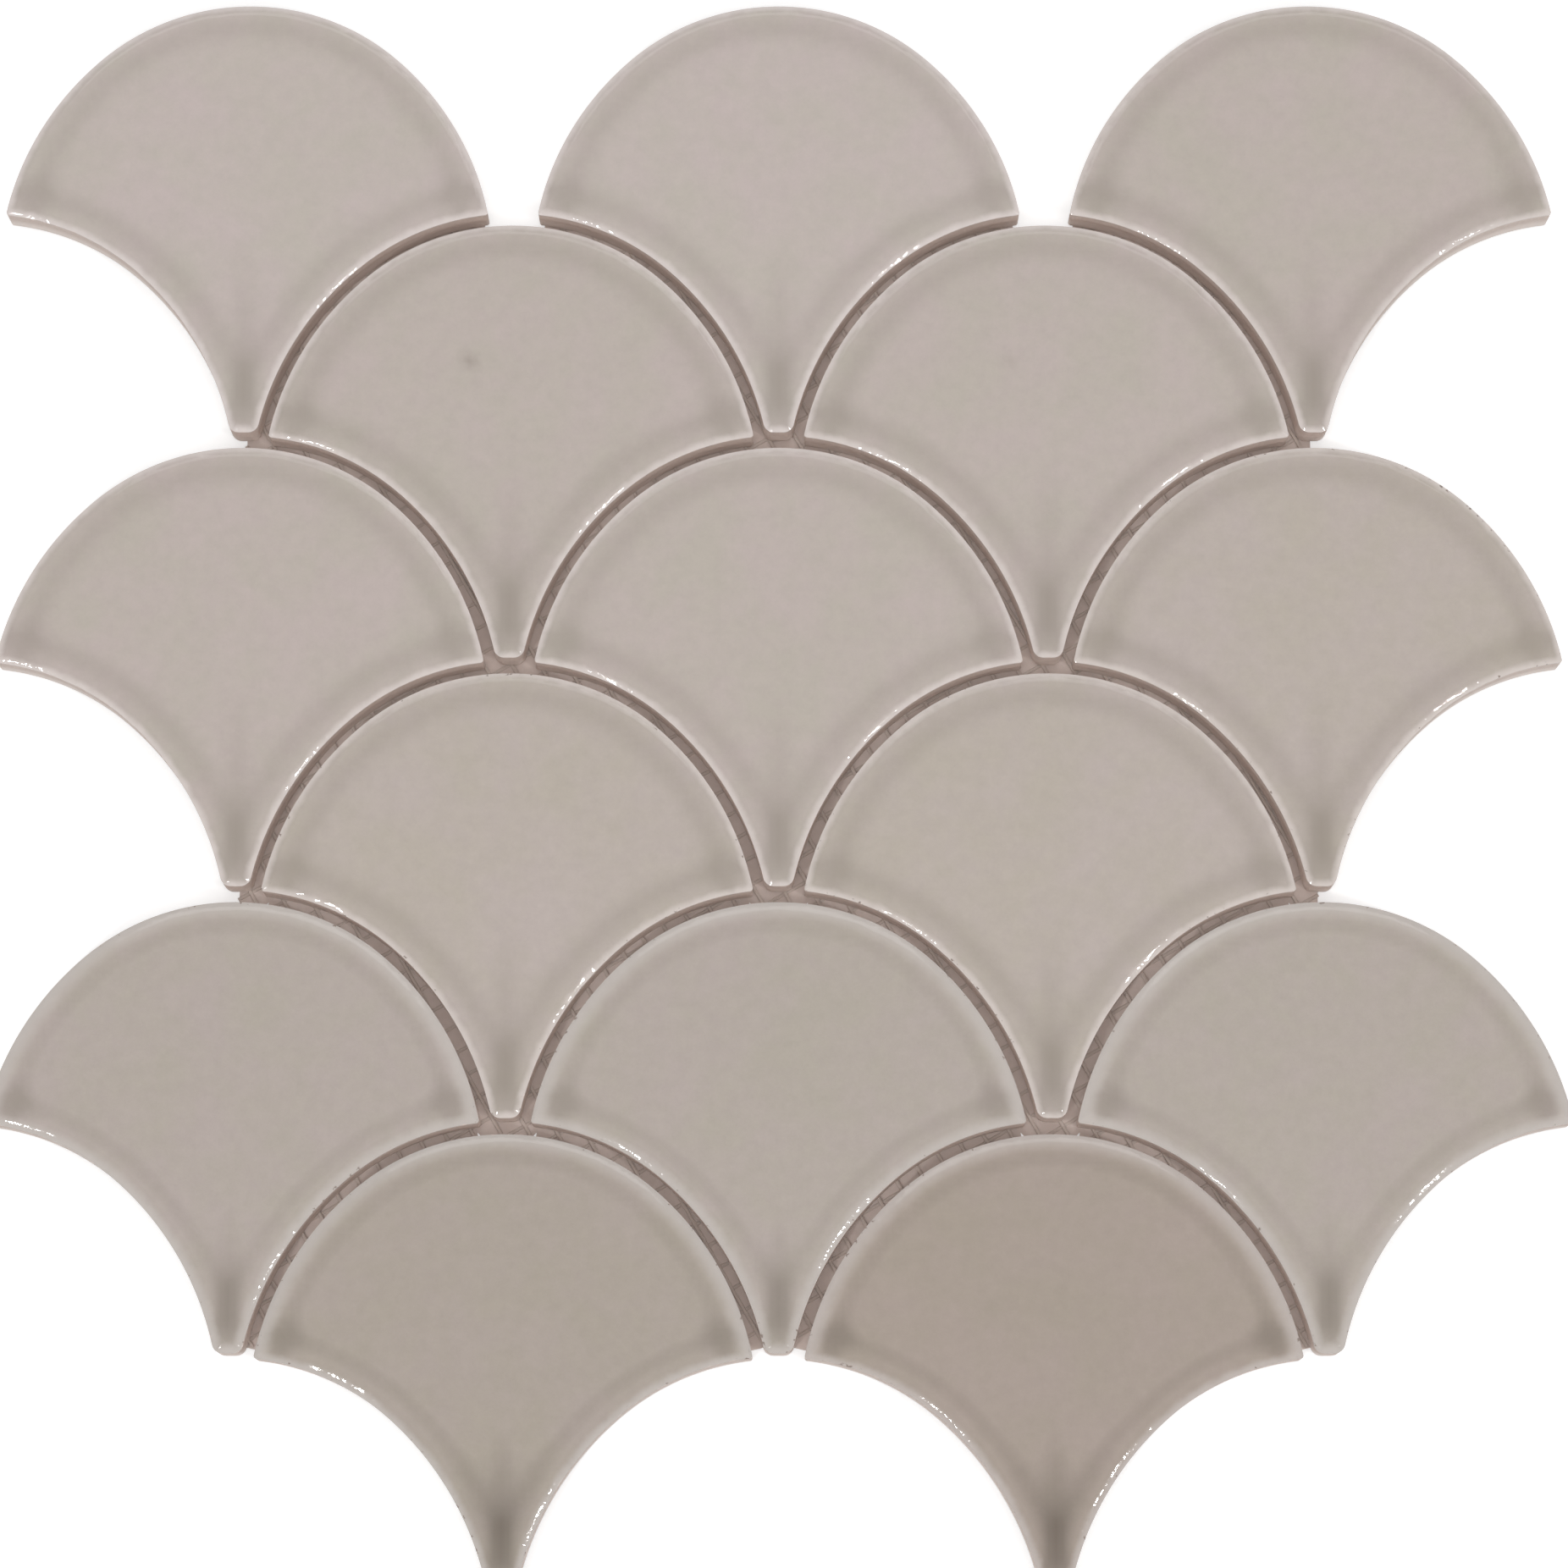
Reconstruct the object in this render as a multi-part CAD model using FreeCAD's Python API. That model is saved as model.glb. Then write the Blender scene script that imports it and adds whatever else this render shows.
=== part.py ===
"""Fish scale mosaic sheet: fan-shaped glazed tiles set in staggered rows on a fibreglass net.

The sheet lies flat with its glazed faces up. X runs along the rows, the crowns of the
scales point to +Y, and the origin is the centre of the sheet's underside. Millimetres.
"""
import FreeCAD
import Part
import math
import os
from FreeCAD import Vector

# Sheet: rows are counted from the top, and every second row is a short one
ROW_COUNT = 6
TILES_IN_LONG_ROW = 3
TILE_PITCH = 90.8
ROW_PITCH = 39.0
SIDE_JOINT = 2.1
TAIL_JOINT = 2.7

# Tile: a crown arc runs into two wider flank arcs, and the neighbours' arcs bound the tail
CROWN_HALF_ANGLE = 40.8
FLANK_WIDENING = 11.3
TAIL_WIDTH = 4.6
TAIL_RADIUS = 1.8
TILE_THICKNESS = 7.0

# Rim: the pressed shoulder that falls from the glazed face to the wall
RIM_WIDTH = 1.5
RIM_DROP = 0.8

# Net: two layers of flat strands, cut back from the outer edge of the tiles
NET_PITCH = 4.1
NET_ANGLE = 30.0
STRAND_WIDTH = 0.6
STRAND_THICKNESS = 0.25
NET_MARGIN = 2.0
SHORTEST_STRAND = 5.0

TILE_LENGTH = 2 * ROW_PITCH - TAIL_JOINT
SHEET_LENGTH = (ROW_COUNT - 1) * ROW_PITCH + TILE_LENGTH
NET_THICKNESS = 2 * STRAND_THICKNESS


def crown_radius_for_tail():
    """Radius of the crown arc that leaves the neighbours' tails their width.

    The end of a neighbour's tail lies one row pitch higher than this tile's own, and there
    the flank stands half a pitch, less a joint and half a tail, from the centre line.
    """
    lean = math.radians(CROWN_HALF_ANGLE)
    half_width = (TILE_PITCH - TAIL_WIDTH) / 2 - SIDE_JOINT
    across = half_width + FLANK_WIDENING * math.sin(lean)
    down = FLANK_WIDENING * math.cos(lean) - (TILE_LENGTH - ROW_PITCH)
    return (across ** 2 + down ** 2 - FLANK_WIDENING ** 2) / (2 * (FLANK_WIDENING - down))


CROWN_RADIUS = crown_radius_for_tail()
FLANK_RADIUS = CROWN_RADIUS + FLANK_WIDENING


def along(centre, radius, towards):
    """Point on a circle about centre, in the direction of another point."""
    ray = towards - centre
    return centre + ray * (radius / ray.Length)


def mirrored(point):
    """The same point on the other side of the tile's centre line."""
    return Vector(-point.x, point.y, point.z)


def circles_meet(centre_a, radius_a, centre_b, radius_b):
    """The meeting point of two circles that lies to the left, going from a to b."""
    line = centre_b - centre_a
    step = (radius_a ** 2 - radius_b ** 2 + line.Length ** 2) / (2 * line.Length)
    rise = math.sqrt(radius_a ** 2 - step ** 2)
    line.normalize()
    return centre_a + line * step + Vector(-line.y, line.x, 0) * rise


def arc(centre, radius, start, end):
    """Arc of less than half a turn about centre, from start to end."""
    middle = along(centre, radius, (start + end) * 0.5)
    return Part.Arc(start, middle, end).toShape()


def scale_outline(growth):
    """Closed outline of one tile, moved outwards by growth, with its crown at the origin."""
    lean = math.radians(CROWN_HALF_ANGLE)
    to_neighbour = Vector(TILE_PITCH / 2, -ROW_PITCH, 0)

    crown_centre = Vector(0, -CROWN_RADIUS, 0)
    flank_centre = crown_centre + Vector(-math.sin(lean), -math.cos(lean), 0) * FLANK_WIDENING
    hollow_crown_centre = crown_centre + to_neighbour
    hollow_flank_centre = mirrored(flank_centre) + to_neighbour

    crown_radius = CROWN_RADIUS + growth
    flank_radius = FLANK_RADIUS + growth
    hollow_crown_radius = CROWN_RADIUS + SIDE_JOINT - growth
    hollow_flank_radius = FLANK_RADIUS + SIDE_JOINT - growth
    tail_radius = TAIL_RADIUS + growth
    tail_end = -TILE_LENGTH - growth

    crown_end = crown_centre + Vector(math.sin(lean), math.cos(lean), 0) * crown_radius
    tip = circles_meet(flank_centre, flank_radius, hollow_crown_centre, hollow_crown_radius)
    hollow_end = hollow_crown_centre + Vector(-math.sin(lean), math.cos(lean), 0) * hollow_crown_radius

    tail_rise = tail_end + tail_radius - hollow_flank_centre.y
    tail_reach = math.sqrt((hollow_flank_radius + tail_radius) ** 2 - tail_rise ** 2)
    tail_centre = Vector(hollow_flank_centre.x - tail_reach, tail_end + tail_radius, 0)
    tail_start = along(hollow_flank_centre, hollow_flank_radius, tail_centre)
    tail_corner = Vector(tail_centre.x, tail_end, 0)

    right_side = [
        (flank_centre, flank_radius, crown_end, tip),
        (hollow_crown_centre, hollow_crown_radius, tip, hollow_end),
        (hollow_flank_centre, hollow_flank_radius, hollow_end, tail_start),
        (tail_centre, tail_radius, tail_start, tail_corner),
    ]
    edges = [arc(crown_centre, crown_radius, mirrored(crown_end), crown_end)]
    edges += [arc(*stretch) for stretch in right_side]
    edges.append(Part.makeLine(tail_corner, mirrored(tail_corner)))
    edges += [
        arc(mirrored(centre), radius, mirrored(end), mirrored(start))
        for centre, radius, start, end in reversed(right_side)
    ]
    return Part.Wire(edges)


def tile_solid():
    """One tile, with its back on the ground plane and its crown at the origin."""
    slab = Part.Face(scale_outline(0)).extrude(Vector(0, 0, TILE_THICKNESS))
    face = max(slab.Faces, key=lambda side: side.CenterOfMass.z)
    return slab.makeChamfer(RIM_DROP, RIM_WIDTH, face.Edges)


def crown_places():
    """Where the crown of each tile lies, by the tile's name."""
    places = {}
    for row in range(ROW_COUNT):
        count = TILES_IN_LONG_ROW - row % 2
        for column in range(count):
            x = (column - (count - 1) / 2) * TILE_PITCH
            y = SHEET_LENGTH / 2 - row * ROW_PITCH
            places[f"tile_r{row + 1}_c{column + 1}"] = Vector(x, y, NET_THICKNESS)
    return places


def net_field(places):
    """Flat face that the net covers: the tiles with their joints closed, less the margin."""
    growth = max(SIDE_JOINT, TAIL_JOINT)
    grown = Part.Face(scale_outline(growth))
    covers = []
    for place in places:
        cover = grown.copy()
        cover.translate(Vector(place.x, place.y, 0))
        covers.append(cover)
    joined = covers[0].multiFuse(covers[1:]).removeSplitter()
    closed = Part.Face(joined.Faces[0].OuterWire)
    return closed.makeOffset2D(-(growth + NET_MARGIN))


def strand_layer(field, angle, base):
    """Parallel strands that cross the field at an angle, with their undersides at base."""
    course = Vector(math.cos(math.radians(angle)), math.sin(math.radians(angle)), 0)
    across = Vector(-course.y, course.x, 0)
    reach = field.BoundBox.DiagonalLength / 2
    count = math.ceil(reach / NET_PITCH)
    strands = []
    for number in range(-count, count + 1):
        middle = across * (number * NET_PITCH)
        line = Part.makeLine(middle - course * reach, middle + course * reach)
        for run in line.common(field).Edges:
            if run.Length < SHORTEST_STRAND:
                continue
            strand = Part.makeBox(run.Length, STRAND_WIDTH, STRAND_THICKNESS)
            strand.translate(Vector(-run.Length / 2, -STRAND_WIDTH / 2, base))
            strand.rotate(Vector(0, 0, 0), Vector(0, 0, 1), angle)
            strand.translate(run.CenterOfMass)
            strands.append(strand)
    return Part.makeCompound(strands)


def main():
    """Build every piece and write it to its own file."""
    places = crown_places()
    field = net_field(places.values())
    pieces = {
        "net_warp_strands": strand_layer(field, NET_ANGLE, 0),
        "net_weft_strands": strand_layer(field, NET_ANGLE + 90, STRAND_THICKNESS),
    }
    tile = tile_solid()
    for name, place in places.items():
        piece = tile.copy()
        piece.translate(place)
        pieces[name] = piece

    os.makedirs("parts", exist_ok=True)
    for name, piece in pieces.items():
        piece.exportStep(f"parts/{name}.step")


main()
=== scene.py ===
"""Looks of the fish scale mosaic sheet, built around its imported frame.

Fifteen fan-shaped tiles with a poured glaze lie face up on a coated fibreglass net. X runs
along the rows, the crowns point to +Y and the glazed faces look up. Sizes in the classes are
millimetres, and every mesh is in metres in the frame's own place.
"""

import logging
import math
from dataclasses import dataclass
from enum import Enum
from typing import Any, Callable

import bmesh
import bpy
import numpy as np
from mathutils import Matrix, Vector


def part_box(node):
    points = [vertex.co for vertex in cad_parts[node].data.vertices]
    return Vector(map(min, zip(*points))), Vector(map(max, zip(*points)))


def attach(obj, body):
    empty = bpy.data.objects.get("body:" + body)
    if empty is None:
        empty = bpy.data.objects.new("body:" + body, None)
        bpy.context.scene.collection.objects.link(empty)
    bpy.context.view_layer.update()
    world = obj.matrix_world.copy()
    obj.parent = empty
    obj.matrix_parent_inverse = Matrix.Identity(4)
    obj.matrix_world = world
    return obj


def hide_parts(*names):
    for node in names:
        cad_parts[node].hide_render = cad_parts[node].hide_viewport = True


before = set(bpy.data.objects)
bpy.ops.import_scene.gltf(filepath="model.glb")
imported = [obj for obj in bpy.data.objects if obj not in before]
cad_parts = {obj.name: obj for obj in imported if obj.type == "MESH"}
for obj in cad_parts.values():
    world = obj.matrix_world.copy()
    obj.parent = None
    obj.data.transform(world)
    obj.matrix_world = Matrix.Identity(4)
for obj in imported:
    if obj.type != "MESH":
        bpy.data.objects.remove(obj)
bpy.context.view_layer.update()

LOG = logging.getLogger("fish_scale_sheet")
MM = 0.001
BODY = "root"
LEVEL_GAP = 0.001 * MM
WHITE = (1.0, 1.0, 1.0, 1.0)


def to_linear(colour: str) -> tuple[float, float, float, float]:
    """Turn an sRGB hex colour into linear light.

    Args:
        colour: six hex digits after a hash sign.

    Returns:
        Red, green, blue and an alpha of one.
    """
    parts = [int(colour[place:place + 2], 16) / 255 for place in (1, 3, 5)]
    light = [part / 12.92 if part <= 0.04045 else ((part + 0.055) / 1.055) ** 2.4 for part in parts]
    return (light[0], light[1], light[2], 1.0)


def add_node(
    tree: bpy.types.NodeTree,
    kind: str,
    settings: dict[str | int, Any] | None = None,
    links: dict[str | int, bpy.types.NodeSocket] | None = None,
) -> bpy.types.Node:
    """Add one node with its settings and links.

    Args:
        tree: node tree that takes the node.
        kind: Blender's type name of the node.
        settings: properties by name, or input sockets by name or number, with their values.
        links: input sockets by name or number, with the output sockets that feed them.

    Returns:
        The new node.
    """
    node = tree.nodes.new(kind)
    for key, value in (settings or {}).items():
        if isinstance(key, str) and hasattr(node, key):
            setattr(node, key, value)
        else:
            node.inputs[key].default_value = value
    for key, socket in (links or {}).items():
        tree.links.new(socket, node.inputs[key])
    return node


def per_metre(size_mm: float) -> float:
    """Texture scale on metre coordinates for a pattern of a size in millimetres."""
    return 1 / (size_mm * MM)


def deselect_all() -> None:
    """Leave nothing selected, so that an operator acts only on what is chosen next."""
    if bpy.context.object is not None and bpy.context.object.mode != "OBJECT":
        bpy.ops.object.mode_set(mode="OBJECT")
    bpy.ops.object.select_all(action="DESELECT")


def make_active(piece: bpy.types.Object) -> None:
    """Select one object alone and make it the active one."""
    deselect_all()
    piece.select_set(True)
    bpy.context.view_layer.objects.active = piece


def select_where(piece: bpy.types.Object, mode: str, test: Callable[[Any], bool]) -> None:
    """Select the vertices, edges or faces that pass a test, in edit mode.

    Args:
        piece: object in edit mode.
        mode: VERT, EDGE or FACE.
        test: says whether an element is wanted.
    """
    bpy.ops.mesh.select_mode(type=mode)
    bpy.ops.mesh.select_all(action="DESELECT")
    shape = bmesh.from_edit_mesh(piece.data)
    elements = {"VERT": shape.verts, "EDGE": shape.edges, "FACE": shape.faces}[mode]
    for element in elements:
        if test(element):
            element.select_set(True)
    shape.select_flush_mode()
    bmesh.update_edit_mesh(piece.data)


def apply_modifier(piece: bpy.types.Object, kind: str, **settings: Any) -> None:
    """Add a modifier to a piece and apply it.

    Args:
        piece: object that takes the modifier.
        kind: Blender's type name of the modifier.
        settings: properties of the modifier by name.
    """
    make_active(piece)
    bpy.ops.object.modifier_add(type=kind)
    modifier = piece.modifiers[-1]
    for key, value in settings.items():
        setattr(modifier, key, value)
    bpy.ops.object.modifier_apply(modifier=modifier.name)


def copy_to(master: bpy.types.Object, place: Vector) -> bpy.types.Object:
    """Copy an object with a mesh of its own and move it, leaving its origin where it was.

    Args:
        master: object at the origin.
        place: where the copy goes, in metres.

    Returns:
        The copy in its place.
    """
    make_active(master)
    bpy.ops.object.duplicate(linked=False)
    bpy.ops.transform.translate(value=place)
    bpy.ops.object.transform_apply(location=True, rotation=True, scale=True)
    return bpy.context.object


def open_blank(name: str) -> bpy.types.Object:
    """Add an object with an empty mesh and open it in edit mode.

    Args:
        name: name of the object.

    Returns:
        The object, with its vertices ready to be selected.
    """
    deselect_all()
    bpy.ops.mesh.primitive_plane_add(size=MM)
    blank = bpy.context.object
    blank.name = name
    bpy.ops.object.mode_set(mode="EDIT")
    bpy.ops.mesh.select_mode(type="VERT")
    bpy.ops.mesh.select_all(action="SELECT")
    bpy.ops.mesh.delete(type="VERT")
    return blank


def drop_point(x: float, y: float, height: float) -> None:
    """Add one selected point in edit mode, at a place in millimetres."""
    bpy.ops.mesh.primitive_plane_add(size=MM, location=(x * MM, y * MM, height * MM))
    bpy.ops.mesh.merge(type="CENTER")


def turn_outwards() -> None:
    """Point all faces outwards, in edit mode."""
    bpy.ops.mesh.select_all(action="SELECT")
    bpy.ops.mesh.normals_make_consistent(inside=False)


def vertex_places(mesh: bpy.types.Mesh) -> np.ndarray:
    """Read the places of a mesh's vertices, in millimetres, one to a row."""
    places = np.zeros(len(mesh.vertices) * 3)
    mesh.vertices.foreach_get("co", places)
    return places.reshape(-1, 3) / MM


def bearing(origin: Vector, target: Vector) -> float:
    """Angle of the ray from one point to another, from the X axis."""
    return math.atan2(target.y - origin.y, target.x - origin.x)


def circles_meet(centre_a: Vector, radius_a: float, centre_b: Vector, radius_b: float) -> Vector:
    """Find where two circles meet.

    Args:
        centre_a: centre of the first circle.
        radius_a: its radius.
        centre_b: centre of the second circle.
        radius_b: its radius.

    Returns:
        The meeting point that lies to the left, going from the first centre to the second.
    """
    line = centre_b - centre_a
    step = (radius_a ** 2 - radius_b ** 2 + line.length_squared) / (2 * line.length)
    rise = math.sqrt(radius_a ** 2 - step ** 2)
    line.normalize()
    return centre_a + line * step + Vector((-line.y, line.x)) * rise


def lies_at(element: bmesh.types.BMEdge | bmesh.types.BMFace, level: float) -> bool:
    """Say whether an edge or a face lies flat at a height in metres."""
    return all(abs(vertex.co.z - level) < LEVEL_GAP for vertex in element.verts)


def start_material(name: str) -> bpy.types.Material:
    """Make a material with an empty node tree, named for what the real one is."""
    material = bpy.data.materials.new(name)
    material.use_nodes = True
    material.node_tree.nodes.clear()
    return material


def seen_rays(tree: bpy.types.NodeTree) -> bpy.types.NodeSocket:
    """Tell the rays that show a surface to the eye from those that carry light.

    Args:
        tree: node tree of the floor or of the world.

    Returns:
        A socket that is one for camera, glossy and transmission rays, and zero for others.
    """
    path = add_node(tree, "ShaderNodeLightPath").outputs
    seen = path["Is Camera Ray"]
    for kind in ("Is Glossy Ray", "Is Transmission Ray"):
        seen = add_node(
            tree, "ShaderNodeMath", {"operation": "MAXIMUM"}, {0: seen, 1: path[kind]},
        ).outputs[0]
    return seen


class TileTone(Enum):
    """The tone of a tile's glaze, from pale to brown; the darker tones lie towards the bottom rows of the
    sheet.
    """

    PALE = "pale"
    FAIR = "fair"
    EVEN = "even"
    WARM = "warm"
    DEEP = "deep"
    BROWN = "brown"


class NetLayer(Enum):
    """The two layers of the net, by the names of their nodes."""

    WARP = "net_warp_strands"
    WEFT = "net_weft_strands"


@dataclass(frozen=True)
class GlazeTones:
    """Colours of one tone of tile.

    The face lies between rosy and green, deep is where the glaze stood deepest, and the pale
    rim colour is where the glaze ran thinner off the rim and the body shows through, partly real
    and partly painted sheen, over a width in millimetres on the arch and one on the hollow sides.
    Only the pools deeper than the pool floor show. Chips is how much glaze the arris lost in handling.
    """

    rosy: str
    green: str
    deep: str
    thin_and_sheen: str
    arch_pale_width: float = 1.4
    hollow_pale_width: float = 1.4
    pool_floor: float = 0.0
    chips: float = 0.0


GLAZE_TONES = {
    TileTone.PALE: GlazeTones("#BBAEAA", "#B7AEA5", "#938980", "#D8CECA"),
    TileTone.FAIR: GlazeTones("#B7AAA5", "#B3AAA0", "#8F857B", "#D5CBC6"),
    TileTone.EVEN: GlazeTones("#B4A8A2", "#B1A79C", "#8B8176", "#D2C8C2", chips=1.0),
    TileTone.WARM: GlazeTones("#ADA19B", "#AAA196", "#7B7166", "#C0B8B2", 3.2, 2.2, 0.15, 1.0),
    TileTone.DEEP: GlazeTones("#A69A92", "#A3998D", "#6C6257", "#BDB5AF", 3.2, 1.6, 0.15, 1.0),
    TileTone.BROWN: GlazeTones("#A2948B", "#9F9387", "#63584D", "#BCB2AC", 3.2, 1.6, 0.15, 1.0),
}

# Each tile's tone: the tones vary from tile to tile and darken towards the bottom rows of the sheet
TILE_TONES = {
    "tile_r1_c1": TileTone.PALE,
    "tile_r1_c2": TileTone.PALE,
    "tile_r1_c3": TileTone.FAIR,
    "tile_r2_c1": TileTone.FAIR,
    "tile_r2_c2": TileTone.FAIR,
    "tile_r3_c1": TileTone.FAIR,
    "tile_r3_c2": TileTone.FAIR,
    "tile_r3_c3": TileTone.EVEN,
    "tile_r4_c1": TileTone.EVEN,
    "tile_r4_c2": TileTone.EVEN,
    "tile_r5_c1": TileTone.WARM,
    "tile_r5_c2": TileTone.WARM,
    "tile_r5_c3": TileTone.WARM,
    "tile_r6_c1": TileTone.DEEP,
    "tile_r6_c2": TileTone.BROWN,
}


@dataclass(frozen=True)
class Speck:
    """A dark spot in the glaze, a melted grain or a late pool.

    Its place on the tile and its radius are in millimetres, and depth is that of its tone.
    """

    across: float
    below_crown: float
    depth: float
    radius: float = 1.3


SPECKS = {
    "tile_r2_c1": Speck(-7.0, 24.0, 0.6),
    "tile_r2_c2": Speck(-6.0, 24.0, 0.2),
    "tile_r5_c3": Speck(-10.5, 26.9, 0.2, 0.8),
    "tile_r6_c1": Speck(0.0, 61.0, 0.22, 9.0),
    "tile_r6_c2": Speck(0.0, 60.0, 0.18, 9.0),
}


@dataclass(frozen=True)
class GlazedStoneware:
    """Poured translucent taupe glaze over a pressed, pinkish stoneware body.

    The glaze is glassy and pools dark just inside the rim, most of all in the arms and the
    tail. It runs thinner and pale over the rim, a paleness that is partly painted sheen, and it
    stops in a ragged line on the wall, where the matt body shows. The line lies where the height
    on the wall, plus a noise of at most line_reach, passes glaze_edge. Sizes are millimetres.
    """

    shade: TileTone
    body: str = "#DECFC7"
    body_grit: str = "#C9B8AE"
    # Paler foot of the wall: painted light against the deep shade in the joints
    painted_light_foot: str = "#EADED7"
    chip: str = "#8A7B72"
    ior: float = 1.5
    glaze_roughness: float = 0.07
    body_roughness: float = 0.8
    glaze_edge: float = 7.0
    foot_height: float = 4.5
    line_reach: float = 0.9
    line_blur: float = 0.2
    cloud_size: float = 14.0
    cloud_range: tuple[float, float] = (0.35, 0.65)
    mottle_size: float = 2.3
    mottle: float = 0.1
    ragged_size: float = 2.2
    ragged_reach: float = 0.8
    grit_size: float = 0.5
    chip_size: float = 0.9
    chip_reach: float = 0.5
    chip_cloud: float = 0.6
    chip_range: tuple[float, float] = (0.97, 1.03)
    wave_width: float = 1.5
    wave_height: float = 0.2
    face_waviness: float = 0.06

    def build(self) -> bpy.types.Material:
        """Make the material.

        Returns:
            The finished material, named for the shade.
        """
        material = start_material(f"glazed_stoneware_{self.shade.value}")
        tree = material.node_tree
        place = add_node(tree, "ShaderNodeTexCoord").outputs["Object"]
        arch, hollow, pool = (
            add_node(tree, "ShaderNodeAttribute", {"attribute_name": name}).outputs["Fac"]
            for name in ("arch_mm", "hollow_mm", "glaze_pool")
        )
        rim = add_node(
            tree, "ShaderNodeMath", {"operation": "MINIMUM"}, {0: arch, 1: hollow},
        ).outputs[0]

        # The face drifts between a rosy and a greener taupe in soft clouds
        tones = GLAZE_TONES[self.shade]
        cloud = add_node(
            tree, "ShaderNodeTexNoise",
            {"Scale": per_metre(self.cloud_size), "Detail": 5.0, "Roughness": 0.65},
            {"Vector": place},
        ).outputs["Fac"]
        drift = add_node(
            tree, "ShaderNodeMapRange",
            {"From Min": self.cloud_range[0], "From Max": self.cloud_range[1]},
            {"Value": cloud},
        ).outputs["Result"]
        face = add_node(
            tree, "ShaderNodeMix",
            {"data_type": "RGBA", 6: to_linear(tones.rosy), 7: to_linear(tones.green)},
            {0: drift},
        ).outputs[2]

        # It is finely mottled, where the glaze boiled and healed in the kiln
        boil = add_node(
            tree, "ShaderNodeTexNoise",
            {"Scale": per_metre(self.mottle_size), "Detail": 4.0, "Roughness": 0.8},
            {"Vector": place},
        ).outputs["Fac"]
        tint = add_node(
            tree, "ShaderNodeMapRange",
            {"To Min": 1 - self.mottle, "To Max": 1 + self.mottle},
            {"Value": boil},
        ).outputs["Result"]
        face = add_node(
            tree, "ShaderNodeVectorMath", {"operation": "SCALE"}, {0: face, "Scale": tint},
        ).outputs[0]

        # Glaze that stood deeper is darker and greener
        depth = add_node(
            tree, "ShaderNodeMapRange", {"From Min": tones.pool_floor}, {"Value": pool},
        ).outputs["Result"]
        pooled = add_node(
            tree, "ShaderNodeMix",
            {"data_type": "RGBA", 7: to_linear(tones.deep)},
            {0: depth, 6: face},
        ).outputs[2]

        # Glaze that ran off the rim is thinner, and the pale body shows through; the pale band is also
        # painted sheen along the rim
        ragged = add_node(
            tree, "ShaderNodeTexNoise",
            {"Scale": per_metre(self.ragged_size), "Detail": 2.0},
            {"Vector": place},
        ).outputs["Fac"]
        glaze = pooled
        for side, width in ((arch, tones.arch_pale_width), (hollow, tones.hollow_pale_width)):
            ragged_side = add_node(
                tree, "ShaderNodeMath",
                {"operation": "MULTIPLY_ADD", 1: self.ragged_reach},
                {0: ragged, 2: side},
            ).outputs[0]
            thin_and_sheen_mask = add_node(
                tree, "ShaderNodeMapRange",
                {"interpolation_type": "SMOOTHSTEP", "From Min": self.ragged_reach / 2,
                 "From Max": self.ragged_reach / 2 + width, "To Min": 1.0, "To Max": 0.0},
                {"Value": ragged_side},
            ).outputs["Result"]
            glaze = add_node(
                tree, "ShaderNodeMix",
                {"data_type": "RGBA", 7: to_linear(tones.thin_and_sheen)},
                {0: thin_and_sheen_mask, 6: glaze},
            ).outputs[2]

        # Small chips along the arris show the darker core of the body
        chip = add_node(
            tree, "ShaderNodeTexNoise",
            {"Scale": per_metre(self.chip_size), "Detail": 2.0},
            {"Vector": place},
        ).outputs["Fac"]
        chance = add_node(
            tree, "ShaderNodeMath",
            {"operation": "MULTIPLY_ADD", 1: self.chip_cloud},
            {0: cloud, 2: chip},
        ).outputs[0]
        struck = add_node(
            tree, "ShaderNodeMapRange",
            {"From Min": self.chip_range[0], "From Max": self.chip_range[1], "To Max": tones.chips},
            {"Value": chance},
        ).outputs["Result"]
        chipped = add_node(
            tree, "ShaderNodeMapRange",
            {"From Min": self.chip_reach / 2, "From Max": self.chip_reach, "To Max": 0.0},
            {"Value": rim, "To Min": struck},
        ).outputs["Result"]
        glaze = add_node(
            tree, "ShaderNodeMix",
            {"data_type": "RGBA", 7: to_linear(self.chip)},
            {0: chipped, 6: glaze},
        ).outputs[2]

        # Below a ragged line on the wall the bare body shows, with grit in it
        height = add_node(tree, "ShaderNodeSeparateXYZ", {}, {0: place}).outputs["Z"]
        line = add_node(
            tree, "ShaderNodeMath",
            {"operation": "MULTIPLY_ADD", 1: self.line_reach * MM},
            {0: ragged, 2: height},
        ).outputs[0]
        glazed = add_node(
            tree, "ShaderNodeMapRange",
            {"From Min": self.glaze_edge * MM, "From Max": (self.glaze_edge + self.line_blur) * MM},
            {"Value": line},
        ).outputs["Result"]
        grit = add_node(
            tree, "ShaderNodeTexNoise",
            {"Scale": per_metre(self.grit_size), "Detail": 2.0},
            {"Vector": place},
        ).outputs["Fac"]
        body = add_node(
            tree, "ShaderNodeMix",
            {"data_type": "RGBA", 6: to_linear(self.body), 7: to_linear(self.body_grit)},
            {0: grit},
        ).outputs[2]
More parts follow.
